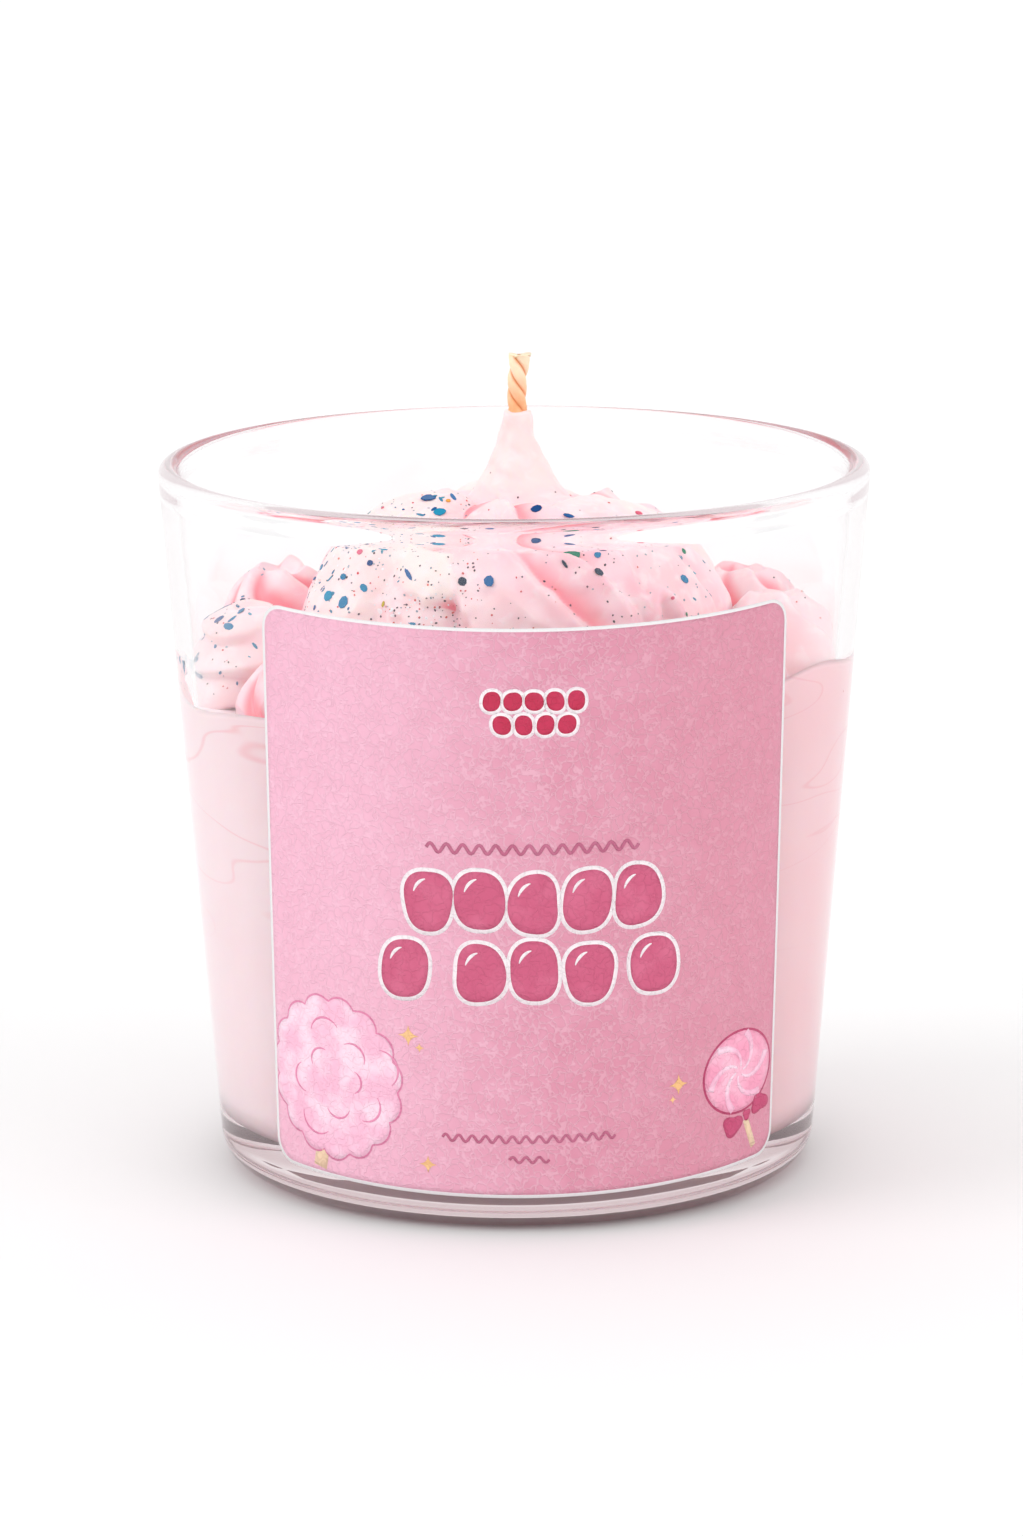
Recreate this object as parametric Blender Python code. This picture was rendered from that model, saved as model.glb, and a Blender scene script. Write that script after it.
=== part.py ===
"""A scented candle: wax poured in a tapered glass tumbler, with whipped wax piped on top round a wick.

Metres, +Z up. The origin is in the middle of the glass's foot, and the label faces -Y.
"""

import math

import bmesh
import bpy

MM = 0.001
GAP = 0.3 * MM  # left between any two pieces that touch

# Tumbler
GLASS_HEIGHT = 88.5 * MM
RIM_RADIUS = 44.0 * MM
FOOT_CONE_RADIUS = 37.0 * MM  # where the sloping wall would meet the table
WALL = 2.1 * MM
BEAD_THICKNESS = 2.7 * MM  # the fire-polished rim
BEAD_DEPTH = 4.2 * MM
BASE_THICKNESS = 7.0 * MM
FOOT_CORNER = 4.5 * MM
WELL_CORNER = 3.5 * MM
PUNT_RADIUS = 24.0 * MM  # the shallow recess under the base
PUNT_DEPTH = 0.8 * MM
ROUND_STEPS = 56

# Wax
WAX_LEVEL = 59.5 * MM
RING_COUNT = 11
RING_RADIUS = 31.2 * MM
RING_FIRST_ANGLE = math.radians(-7)
RING_UNEVENNESS = 0.06
ROSETTE_LOBES = 6
ROSETTE_TWIST = math.radians(75)
CENTRE_LOBES = 8
CENTRE_TWIST = math.radians(62)
CENTRE_PHASE = 0.3
LEAN = 0.4 * MM  # the drawn-up peak and the wick stand a little to +X

# Wick
WICK_RADIUS = 1.2 * MM
WICK_TOP = 101.7 * MM
WICK_SOCKET_DEPTH = 8.0 * MM
WICK_STRANDS = 3
WICK_PITCH = 7.5 * MM

# Label
LABEL_WIDTH = 70.0 * MM
LABEL_LENGTH = 71.2 * MM
LABEL_THICKNESS = 0.2 * MM
LABEL_CORNER = 3.1 * MM
LABEL_FOOT = 4.6 * MM  # height of the middle of its lower edge
LABEL_TURN = math.radians(2.3)

# Height, radius and groove depth down the outside of each whipped shape, in mm
PEAK_AND_DOME = (
    (94.3, 1.85, 0.0),
    (92.4, 2.1, 0.0),
    (89.8, 2.9, 0.0),
    (87.3, 3.9, 0.1),
    (85.4, 5.2, 0.3),
    (84.4, 7.6, 0.9),
    (84.5, 11.0, 1.8),
    (83.4, 15.0, 2.4),
    (81.0, 19.0, 2.8),
    (78.2, 22.6, 3.0),
    (75.2, 25.0, 3.0),
    (72.4, 25.6, 2.8),
    (70.0, 24.9, 2.6),
    (67.4, 23.4, 2.4),
    (64.6, 22.3, 2.2),
    (61.6, 22.0, 2.0),
)
ROSETTE = (
    (74.6, 0.5, 0.0),
    (73.4, 1.7, 0.3),
    (71.6, 3.6, 0.9),
    (69.4, 5.5, 1.4),
    (66.8, 7.0, 1.7),
    (64.0, 7.8, 1.7),
    (61.4, 7.7, 1.5),
)


def clear_scene():
    for old in list(bpy.data.objects):
        bpy.data.objects.remove(old)


def make_material(name, colour, roughness, transmission=0.0, ior=1.5):
    material = bpy.data.materials.new(name)
    material.use_nodes = True
    shader = material.node_tree.nodes["Principled BSDF"]
    shader.inputs["Base Color"].default_value = (*colour, 1)
    shader.inputs["Roughness"].default_value = roughness
    shader.inputs["Transmission Weight"].default_value = transmission
    shader.inputs["IOR"].default_value = ior
    return material


def place_mesh(name, bm, material, smooth_angle=math.radians(40)):
    """Turns a bmesh into a named, smoothly shaded object."""
    bmesh.ops.recalc_face_normals(bm, faces=bm.faces)
    mesh = bpy.data.meshes.new(name)
    bm.to_mesh(mesh)
    bm.free()
    mesh.shade_smooth()
    mesh.set_sharp_from_angle(angle=smooth_angle)
    mesh.materials.append(material)
    obj = bpy.data.objects.new(name, mesh)
    bpy.context.collection.objects.link(obj)
    return obj


def wall_radius(height):
    """Outer radius of the tumbler's sloping wall."""
    return FOOT_CONE_RADIUS + (RIM_RADIUS - FOOT_CONE_RADIUS) * height / GLASS_HEIGHT


def arc(centre, radius, start, end, steps):
    """Points (r, z) of an arc, with its angles in degrees."""
    turns = (math.radians(start + (end - start) * i / steps) for i in range(steps + 1))
    return [
        (centre[0] + radius * math.cos(turn), centre[1] + radius * math.sin(turn))
        for turn in turns
    ]


def screw_profile(name, points, material):
    """Turns a profile (r, z) round Z. Its ends are on the axis, and it runs down the outside."""
    bm = bmesh.new()
    verts = [bm.verts.new((r, 0, z)) for r, z in points]
    for a, b in zip(verts, verts[1:]):
        bm.edges.new((a, b))
    mesh = bpy.data.meshes.new(name)
    bm.to_mesh(mesh)
    bm.free()
    mesh.materials.append(material)
    obj = bpy.data.objects.new(name, mesh)
    bpy.context.collection.objects.link(obj)
    screw = obj.modifiers.new("Screw", "SCREW")
    screw.steps = ROUND_STEPS
    screw.render_steps = ROUND_STEPS
    screw.use_merge_vertices = True
    screw.merge_threshold = 1e-6
    screw.use_smooth_shade = True
    return obj


def well_profile(clearance, top):
    """The hollow's outline from the middle of its floor up to a height, drawn in by a clearance."""
    floor = BASE_THICKNESS + clearance
    corner = WELL_CORNER - clearance
    inside = wall_radius(floor + corner) - WALL - clearance
    return [
        (0, floor),
        *arc((inside - corner, floor + corner), corner, -90, 0, 5),
        (wall_radius(top) - WALL - clearance, top),
    ]


def bead_profile():
    """The thickened rim: the wall swells inwards by a raised cosine, and a half round closes the top."""
    steps = 5
    half = BEAD_THICKNESS / 2
    swell = []
    for i in range(1, steps):
        below = BEAD_DEPTH + (half - BEAD_DEPTH) * i / steps
        height = GLASS_HEIGHT - below
        share = (1 - math.cos(math.pi * i / steps)) / 2
        thickness = WALL + (BEAD_THICKNESS - WALL) * share
        swell.append((wall_radius(height) - thickness, height))
    return swell + arc((RIM_RADIUS - half, GLASS_HEIGHT - half), half, 180, 0, 8)


def foot_profile():
    """The rounded outer corner, the flat foot ring and the shallow recess under the base."""
    outside = wall_radius(FOOT_CORNER)
    return [
        *arc((outside - FOOT_CORNER, FOOT_CORNER), FOOT_CORNER, 0, -90, 6),
        (PUNT_RADIUS + 2 * PUNT_DEPTH, 0),
        (PUNT_RADIUS, PUNT_DEPTH * 0.8),
        (PUNT_RADIUS * 0.6, PUNT_DEPTH),
        (0, PUNT_DEPTH),
    ]


def make_glass():
    clear = make_material("clear_glass", (0.97, 0.98, 0.98), 0.02, transmission=1.0)
    points = well_profile(0, GLASS_HEIGHT - BEAD_DEPTH) + bead_profile() + foot_profile()
    screw_profile("glass", points, clear)


def make_poured_wax(wax):
    """The wax fills the hollow up to its level. Its outline runs down from the middle of its top."""
    outline = [*well_profile(GAP, WAX_LEVEL), (0, WAX_LEVEL)]
    screw_profile("poured_wax", outline[::-1], wax)


def smooth_column(values, position):
    """Catmull-Rom interpolation of evenly numbered values."""
    i = min(int(position), len(values) - 2)
    t = position - i
    p0 = values[max(i - 1, 0)]
    p1 = values[i]
    p2 = values[i + 1]
    p3 = values[min(i + 2, len(values) - 1)]
    bend = (2 * p0 - 5 * p1 + 4 * p2 - p3) * t * t + (3 * p1 - p0 - 3 * p2 + p3) * t**3
    return p1 + 0.5 * ((p2 - p0) * t + bend)


def piped_rings(outline, lobes, steps_per_lobe, twist, phase, scale, rows):
    """Rings of points down a shape piped through a star nozzle.

    The outline (height, radius, groove) turns round Z. At each height the surface is pressed in along
    its normal by the groove's depth times 1 - |cos(lobes * angle / 2)|, which leaves round ridges with
    sharp valleys, and the ridges wind round Z by the twist from the tip to the base.
    """
    base = WAX_LEVEL + GAP
    heights, radii, grooves = zip(*outline)
    last = len(outline) - 1
    line = []
    for row in range(rows):
        at = last * row / (rows - 1)
        height = smooth_column(heights, at) * MM
        line.append(
            (
                base + (height - base) * scale,
                smooth_column(radii, at) * MM * scale,
                smooth_column(grooves, at) * MM * scale,
            )
        )
    line.append((base, line[-1][1], line[-1][2]))
    rings = []
    for row, (height, radius, groove) in enumerate(line):
        above = line[max(row - 1, 0)]
        below = line[min(row + 1, rows)]
        fall = above[0] - below[0]
        spread = below[1] - above[1]
        slope = math.hypot(fall, spread)
        out, up = (fall / slope, spread / slope) if row < rows else (1, 0)
        wind = phase + twist * row / rows
        ring = []
        for step in range(lobes * steps_per_lobe):
            angle = 2 * math.pi * step / (lobes * steps_per_lobe)
            press = groove * (1 - abs(math.cos(lobes * angle / 2)))
            r = radius - press * out
            turn = angle + wind
            ring.append((r * math.cos(turn), r * math.sin(turn), height - press * up))
        rings.append(ring)
    return rings


def loft(rings, top_centre, base_centre):
    """Skins rings of equal length from top to bottom and closes each end on its centre point."""
    bm = bmesh.new()
    rows = [[bm.verts.new(point) for point in ring] for ring in rings]
    count = len(rows[0])
    for upper, lower in zip(rows, rows[1:]):
        for i in range(count):
            j = (i + 1) % count
            bm.faces.new((upper[i], upper[j], lower[j], lower[i]))
    for row, centre in ((rows[0], top_centre), (rows[-1], base_centre)):
        middle = bm.verts.new(centre)
        for i in range(count):
            bm.faces.new((row[i], row[(i + 1) % count], middle))
    return bm


def make_centre_swirl(wax):
    """The big swirl, its middle drawn up into a peak with a socket for the wick."""
    rings = piped_rings(PEAK_AND_DOME, CENTRE_LOBES, 6, CENTRE_TWIST, CENTRE_PHASE, 1.0, 17)
    count = len(rings[0])
    peak = PEAK_AND_DOME[0][0] * MM
    floor = peak - WICK_SOCKET_DEPTH
    bore = WICK_RADIUS + GAP
    turns = [CENTRE_PHASE + 2 * math.pi * i / count for i in range(count)]
    socket = [[(bore * math.cos(t), bore * math.sin(t), z) for t in turns] for z in (floor, peak)]
    bm = loft(socket + rings, (0, 0, floor), (0, 0, WAX_LEVEL + GAP))
    swirl = place_mesh("centre_swirl", bm, wax)
    swirl.location.x = LEAN


def make_rosettes(wax):
    """The ring of smaller swirls between the big one and the glass, each a little different."""
    for i in range(RING_COUNT):
        scale = 1 - RING_UNEVENNESS * (0.5 + 0.5 * math.sin(2.4 * i))
        rings = piped_rings(ROSETTE, ROSETTE_LOBES, 3, ROSETTE_TWIST, 1.3 * i, scale, 7)
        tip = rings[0][0][2] + 0.3 * MM
        bm = loft(rings, (0, 0, tip), (0, 0, WAX_LEVEL + GAP))
        rosette = place_mesh(f"rosette_{i + 1}", bm, wax)
        angle = RING_FIRST_ANGLE + 2 * math.pi * i / RING_COUNT
        rosette.location = (RING_RADIUS * math.cos(angle), RING_RADIUS * math.sin(angle), 0)


def make_wick():
    """A cord of twisted strands. Its section is a circle with a ridge for each strand, wound up the cord."""
    cotton = make_material("waxed_cotton", (0.86, 0.58, 0.34), 0.7)
    sides = 4 * WICK_STRANDS
    foot = PEAK_AND_DOME[0][0] * MM - WICK_SOCKET_DEPTH + GAP
    rows = 13
    rings = []
    for row in range(rows):
        z = WICK_TOP + (foot - WICK_TOP) * row / (rows - 1)
        ring = []
        for side in range(sides):
            angle = 2 * math.pi * side / sides
            r = WICK_RADIUS * (0.92 + 0.08 * math.cos(WICK_STRANDS * angle))
            turn = angle + 2 * math.pi * z / WICK_PITCH
            ring.append((r * math.cos(turn), r * math.sin(turn), z))
        rings.append(ring)
    wick = place_mesh("wick", loft(rings, (0, 0, WICK_TOP), (0, 0, foot)), cotton)
    wick.location.x = LEAN


def on_cone(across, up, lift):
    """Where a point of a flat sheet lands once the sheet is rolled on the tumbler's conical wall.

    The wall unrolls into a sector about its apex. The sheet's middle line lies along a radius of that
    sector, so a point's distance from the apex gives its height, and its angle there, divided by the
    sine of the cone's half angle, gives its turn round Z.
    """
    rise = RIM_RADIUS - FOOT_CONE_RADIUS
    half_angle = math.atan2(rise, GLASS_HEIGHT)
    to_foot = wall_radius(LABEL_FOOT) / math.sin(half_angle)
    along = math.hypot(to_foot + up, across)
    turn = math.atan2(across, to_foot + up) / math.sin(half_angle) + LABEL_TURN
    z = (along - to_foot) * math.cos(half_angle) + LABEL_FOOT
    r = wall_radius(z) + lift
    return (r * math.sin(turn), -r * math.cos(turn), z)


def make_label():
    """A rectangle of paper with rounded corners, rolled on the front of the glass."""
    paper = make_material("label_paper", (0.87, 0.42, 0.61), 0.6)
    half = LABEL_WIDTH / 2
    straight = half - LABEL_CORNER
    corner_steps = 4
    columns = 20
    inner = [straight * (2 * i / columns - 1) for i in range(columns + 1)]
    edge = [
        straight + LABEL_CORNER * math.sin(math.pi / 2 * i / corner_steps)
        for i in range(1, corner_steps + 1)
    ]
    stations = [-x for x in reversed(edge)] + inner + edge
    rows = 3
    bm = bmesh.new()
    grid = []
    for across in stations:
        past = max(abs(across) - straight, 0)
        inset = LABEL_CORNER - math.sqrt(max(LABEL_CORNER**2 - past**2, 0))
        low, high = inset, LABEL_LENGTH - inset
        heights = [low + (high - low) * row / rows for row in range(rows + 1)]
        grid.append([bm.verts.new(on_cone(across, up, GAP)) for up in heights])
    for left, right in zip(grid, grid[1:]):
        for row in range(rows):
            bm.faces.new((left[row], right[row], right[row + 1], left[row + 1]))
    label = place_mesh("label", bm, paper)
    shell = label.modifiers.new("Paper", "SOLIDIFY")
    shell.thickness = LABEL_THICKNESS
    shell.offset = 1


def main():
    clear_scene()
    body_wax = make_material("poured_wax", (0.93, 0.72, 0.72), 0.45)
    whipped_wax = make_material("whipped_wax", (0.93, 0.52, 0.58), 0.4)
    make_glass()
    make_poured_wax(body_wax)
    make_centre_swirl(whipped_wax)
    make_rosettes(whipped_wax)
    make_wick()
    make_label()


main()
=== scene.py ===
"""A scented candle: wax in a tapered glass tumbler, whipped wax piped on top round a wick, and a paper label.

Shapes are worked out in millimetres and put into the meshes in metres. +Z is up and the label faces -Y.
"""

import math

import bpy
import numpy as np
from mathutils import Matrix, Vector


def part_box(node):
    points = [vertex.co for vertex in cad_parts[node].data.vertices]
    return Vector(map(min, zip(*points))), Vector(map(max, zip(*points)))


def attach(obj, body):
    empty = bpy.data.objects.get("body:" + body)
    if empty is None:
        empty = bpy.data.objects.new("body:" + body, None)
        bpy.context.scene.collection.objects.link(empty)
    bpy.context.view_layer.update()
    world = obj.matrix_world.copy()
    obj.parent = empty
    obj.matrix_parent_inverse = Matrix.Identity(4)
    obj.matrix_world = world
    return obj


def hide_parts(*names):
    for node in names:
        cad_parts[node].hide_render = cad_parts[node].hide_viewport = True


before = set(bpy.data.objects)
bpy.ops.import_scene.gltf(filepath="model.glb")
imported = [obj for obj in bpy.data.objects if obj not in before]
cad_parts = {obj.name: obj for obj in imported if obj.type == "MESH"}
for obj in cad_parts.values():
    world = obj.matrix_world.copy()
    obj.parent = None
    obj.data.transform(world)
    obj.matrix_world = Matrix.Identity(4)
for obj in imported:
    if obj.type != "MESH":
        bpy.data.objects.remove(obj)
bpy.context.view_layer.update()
MM = 0.001

# ------------------------------------------------------------
# Studio. A pale floor that runs out of sight, a white surround that is greyer towards the viewer and has
# two grey flags at the sides, and two soft suns, the stronger at the upper left.


def new_material(name, colour, roughness, **sockets):
    """A Principled material. Colour is linear, and sockets are other inputs by name, _ for a space."""
    material = bpy.data.materials.new(name)
    material.use_nodes = True
    shader = material.node_tree.nodes["Principled BSDF"]
    shader.inputs["Base Color"].default_value = (*colour, 1)
    shader.inputs["Roughness"].default_value = roughness
    for socket, value in sockets.items():
        shader.inputs[socket.replace("_", " ")].default_value = value
    return material


def add_node(tree, kind, inputs=None, **settings):
    """Adds a shader node. inputs maps a socket's name or number to a value or to the output that feeds it."""
    node = tree.nodes.new(kind)
    for setting, value in settings.items():
        setattr(node, setting, value)
    for socket, value in (inputs or {}).items():
        if isinstance(socket, str):
            target = next(s for s in node.inputs if s.name == socket and s.enabled)
        else:
            target = node.inputs[socket]
        if isinstance(value, bpy.types.NodeSocket):
            tree.links.new(value, target)
        else:
            target.default_value = value
    return node


def feed(material, **outputs):
    """Links outputs to the Principled shader's inputs by name, _ for a space."""
    tree = material.node_tree
    for socket, output in outputs.items():
        tree.links.new(output, tree.nodes["Principled BSDF"].inputs[socket.replace("_", " ")])


def bump(tree, height, strength, distance):
    inputs = {"Height": height, "Strength": strength, "Distance": distance}
    return add_node(tree, "ShaderNodeBump", inputs).outputs[0]


def spread(tree, value, start, end, low=0.0, high=1.0):
    """The value from start to end, eased into low to high and held outside that."""
    inputs = {"Value": value, "From Min": start, "From Max": end, "To Min": low, "To Max": high}
    return add_node(tree, "ShaderNodeMapRange", inputs, interpolation_type="SMOOTHSTEP").outputs[0]


def maths(tree, operation, *values):
    return add_node(tree, "ShaderNodeMath", dict(enumerate(values)), operation=operation).outputs[0]


def noise(tree, places, scale, detail, distortion=0.0, output="Fac"):
    inputs = {"Vector": places, "Scale": scale, "Detail": detail, "Distortion": distortion}
    return add_node(tree, "ShaderNodeTexNoise", inputs).outputs[output]


def object_space(tree):
    """Object coordinates, and their x, y and z."""
    places = add_node(tree, "ShaderNodeTexCoord").outputs["Object"]
    return places, *add_node(tree, "ShaderNodeSeparateXYZ", {0: places}).outputs


def attribute(tree, name):
    return add_node(tree, "ShaderNodeAttribute", attribute_name=name).outputs["Fac"]


def mixed(tree, factor, a, b):
    """Colour a turning into colour b by the factor. Each may be an output."""
    inputs = {"Factor": factor, "A": a, "B": b}
    node = add_node(tree, "ShaderNodeMix", data_type="RGBA")
    for name, value in inputs.items():
        target = next(s for s in node.inputs if s.name == name and s.enabled)
        if isinstance(value, bpy.types.NodeSocket):
            tree.links.new(value, target)
        else:
            target.default_value = value
    return next(s for s in node.outputs if s.enabled)


FLOOR_HALF_SIDE = 6.0
floor_mesh = bpy.data.meshes.new("studio_floor")
floor_mesh.from_pydata(
    [(x * FLOOR_HALF_SIDE, y * FLOOR_HALF_SIDE, 0) for x, y in ((-1, -1), (1, -1), (1, 1), (-1, 1))],
    [],
    [(0, 1, 2, 3)],
)
floor_mesh.materials.append(new_material("studio_paper", (0.90, 0.90, 0.90), 0.9))
floor = bpy.data.objects.new("studio_floor", floor_mesh)
bpy.context.scene.collection.objects.link(floor)

SURROUND = 1.06
SURROUND_FRONT = 0.9
FLAG = 0.3
world = bpy.data.worlds.new("studio_surround")
bpy.context.scene.world = world
world.use_nodes = True
tree = world.node_tree
direction = add_node(tree, "ShaderNodeTexCoord").outputs["Generated"]
axes = add_node(tree, "ShaderNodeSeparateXYZ", {0: direction}).outputs
front_to_back = spread(tree, axes["Y"], -0.7, 0.2, SURROUND_FRONT, SURROUND)
sideways = maths(tree, "ABSOLUTE", axes["X"])
flag_across = spread(tree, sideways, 0.9, 0.97)
flag_up = spread(tree, axes["Z"], 0.5, 0.35)
flag = maths(tree, "MULTIPLY", flag_across, flag_up)
flagged = spread(tree, flag, 0.0, 1.0, 1.0, FLAG)
light = maths(tree, "MULTIPLY", front_to_back, flagged)
tree.links.new(light, tree.nodes["Background"].inputs["Color"])


def aim(obj, place, target, roll=0.0):
    """Puts a lamp or the camera at a place, looking at a target, both in mm, and rolls it."""
    place, target = Vector(place) * MM, Vector(target) * MM
    look = (target - place).to_track_quat("-Z", "Y").to_matrix().to_4x4()
    obj.matrix_world = Matrix.Translation(place) @ look @ Matrix.Rotation(roll, 4, "Z")


for lamp_name, place, power, width in (
    ("key_lamp", (-850, -280, 520), 0.78, 35),
    ("fill_lamp", (900, -520, 260), 0.76, 55),
):
    lamp = bpy.data.objects.new(lamp_name, bpy.data.lights.new(lamp_name, "SUN"))
    lamp.data.energy = power
    lamp.data.angle = math.radians(width)
    bpy.context.scene.collection.objects.link(lamp)
    aim(lamp, place, (0, 0, 0))

CAMERA_DISTANCE = 760.0
CAMERA_RISE = math.radians(12.35)
CAMERA_TARGET = (-0.5, 0.0, 49.4)
CAMERA_ROLL = math.radians(-0.28)
camera_data = bpy.data.cameras.new("camera")
camera_data.sensor_width = 36
camera_data.lens = 142.5
camera_data.clip_start = 0.01
camera_data.clip_end = 20
camera = bpy.data.objects.new("camera", camera_data)
bpy.context.scene.collection.objects.link(camera)
behind = -CAMERA_DISTANCE * math.cos(CAMERA_RISE)
above = CAMERA_TARGET[2] + CAMERA_DISTANCE * math.sin(CAMERA_RISE)
aim(camera, (CAMERA_TARGET[0], behind, above), CAMERA_TARGET, CAMERA_ROLL)
bpy.context.scene.camera = camera
bpy.context.scene.view_settings.view_transform = "Standard"

# ------------------------------------------------------------
# Tumbler. Clear pressed glass with a thick base and a rim rounded in the flame, which left a bead that
# swells inwards. It is turned from one outline.

glass_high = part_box("glass")[1]
GLASS_HEIGHT = glass_high.z / MM
RIM_RADIUS = glass_high.x / MM
FOOT_CONE_RADIUS = 37.0
WALL = 2.1
BEAD_THICKNESS = 2.7
BEAD_DEPTH = 4.2
BASE_THICKNESS = 7.0
FOOT_CORNER = 4.5
WELL_CORNER = 3.5
PUNT_RADIUS = 24.0
PUNT_DEPTH = 0.8
GLASS_COLUMNS = 256


def outer_radius(height):
    """The sloping wall's outer radius: a straight line from the foot cone's radius to the rim's."""
    return FOOT_CONE_RADIUS + (RIM_RADIUS - FOOT_CONE_RADIUS) * height / GLASS_HEIGHT


def inner_radius(height):
    return outer_radius(height) - WALL


def shell(rings, poles):
    """One closed surface: its points, its quads and its end triangles, turned to face outwards.

    rings are points (rows, columns, 3), and poles the points that close the two ends. Each point joins the
    next in its ring and the one below it with a quad, and each pole joins its ring with triangles. The
    sign of the volume that they enclose says which way the faces point.
    """
    rows, columns = rings.shape[:2]
    points = np.concatenate([rings.reshape(-1, 3), np.asarray(poles, float)])
    index = np.arange(rows * columns).reshape(rows, columns)
    right = np.roll(index, -1, axis=1)
    quads = np.stack([index[:-1], right[:-1], right[1:], index[1:]], axis=-1).reshape(-1, 4)
    first = np.stack([right[0], index[0], np.full(columns, rows * columns)], axis=-1)
    last = np.stack([index[-1], right[-1], np.full(columns, rows * columns + 1)], axis=-1)
    ends = np.concatenate([first, last])
    about = points - points.mean(axis=0)
    a, b, c, d = (about[quads[:, i]] for i in range(4))
    if np.einsum("ij,ij->i", a, np.cross(b, c) + np.cross(c, d)).sum() < 0:
        quads, ends = quads[:, ::-1], ends[:, ::-1]
    return points, quads, ends


def make_piece(name, shells, material, slot=None, replaces=None, smooth=True, **attributes):
    """One mesh object of closed shells, in mm. Each attribute holds a value for every point of the rings."""
    points, faces, start = [], [], 0
    for shell_points, quads, ends in shells:
        points.append(shell_points)
        faces += (quads + start).tolist() + (ends + start).tolist()
        start += len(shell_points)
    mesh = bpy.data.meshes.new(name)
    mesh.from_pydata((np.concatenate(points) * MM).tolist(), [], faces)
    mesh.polygons.foreach_set("use_smooth", np.full(len(mesh.polygons), smooth))
    for key, values in attributes.items():
        poles = [values[0].mean(), values[-1].mean()] if values.ndim == 2 else []
        layer = mesh.attributes.new(key, "FLOAT", "POINT")
        layer.data.foreach_set("value", np.concatenate([values.ravel(), poles]).astype(np.float32))
    mesh.materials.append(material)
    piece = bpy.data.objects.new(name, mesh)
    bpy.context.scene.collection.objects.link(piece)
    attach(piece, "root")
    if replaces:
        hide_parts(replaces)
    return piece


def whole_turn(count):
    return np.linspace(0, 2 * np.pi, count, endpoint=False)


def unit(vectors):
    return vectors / np.linalg.norm(vectors, axis=1, keepdims=True)


def turned(profile, columns):
    """Rings of a profile (r, z) turned round Z."""
    turn = whole_turn(columns)
    r, z = np.asarray(profile, float).T
    level = np.broadcast_to(z[:, None], (len(r), columns))
    return np.stack([r[:, None] * np.cos(turn), r[:, None] * np.sin(turn), level], axis=-1)


def around(angle, width=1.0, height=1.0):
    """Points (n, 2) of a circle or an ellipse at these angles, given its half width and half height."""
    return np.stack([width * np.cos(angle), height * np.sin(angle)], axis=-1)


def arc(centre_r, centre_z, radius, start, end, steps):
    """Points (r, z) on an arc, angles in degrees."""
    return (centre_r, centre_z) + around(np.radians(np.linspace(start, end, steps)), radius, radius)


def line(start, end, steps):
    """Points on a straight stretch, its ends left to its neighbours."""
    share = np.linspace(0, 1, steps + 2)[1:-1, None]
    return np.asarray(start) * (1 - share) + np.asarray(end) * share


def bead(steps):
    """The inside of the rim: the wall thickens to BEAD_THICKNESS by a raised cosine of the way up."""
    share = np.linspace(0, 1, steps)
    z = GLASS_HEIGHT - BEAD_DEPTH + share * (BEAD_DEPTH - BEAD_THICKNESS / 2)
    thick = WALL + (BEAD_THICKNESS - WALL) * (1 - np.cos(np.pi * share)) / 2
    return np.stack([outer_radius(z) - thick, z], axis=-1)


well_r = inner_radius(BASE_THICKNESS + WELL_CORNER)
foot_r = outer_radius(FOOT_CORNER)
half_bead = BEAD_THICKNESS / 2
bead_foot = GLASS_HEIGHT - BEAD_DEPTH
glass_profile = np.concatenate(
    [
        line((0, BASE_THICKNESS), (well_r - WELL_CORNER, BASE_THICKNESS), 6),
        arc(well_r - WELL_CORNER, BASE_THICKNESS + WELL_CORNER, WELL_CORNER, -90, 0, 14),
        line((well_r, BASE_THICKNESS + WELL_CORNER), (inner_radius(bead_foot), bead_foot), 12),
        bead(12)[:-1],
        arc(RIM_RADIUS - half_bead, GLASS_HEIGHT - half_bead, half_bead, 180, 0, 24),
        line((RIM_RADIUS, GLASS_HEIGHT - half_bead), (foot_r, FOOT_CORNER), 12),
        arc(foot_r - FOOT_CORNER, FOOT_CORNER, FOOT_CORNER, 0, -90, 16),
        line((foot_r - FOOT_CORNER, 0), (PUNT_RADIUS + 2 * PUNT_DEPTH, 0), 3),
        [(PUNT_RADIUS + PUNT_DEPTH, 0)],
        line((PUNT_RADIUS + PUNT_DEPTH, 0), (PUNT_RADIUS, PUNT_DEPTH * 0.8), 2),
        line((PUNT_RADIUS, PUNT_DEPTH * 0.8), (0, PUNT_DEPTH), 6),
    ]
)
# What the glass lets through, in its walls and in the thick base. The base's grey pink is painted shade and
# painted reflection, for the wax above it and the shadow beneath it.
WALL_TINT = (0.993, 0.985, 0.988, 1)
BASE_PAINTED_SHADE = (0.66, 0.54, 0.555, 1)
WALL_SHADOW = (0.96, 0.96, 0.96, 1)
BASE_SHADOW = (0.62, 0.52, 0.54, 1)
SPENT_PAINTED_SHADE = (0.74, 0.65, 0.67, 1)
clear_glass = new_material("clear_glass", WALL_TINT[:3], 0.0, Transmission_Weight=1.0, IOR=1.5)
# Shadows pass through the glass, and so does light that has turned or bounced too often inside it. That light
# is dimmed to a grey pink, painted shade for the edges of the glass.
MOST_TURNS = 9
MOST_BOUNCES = 2
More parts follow.
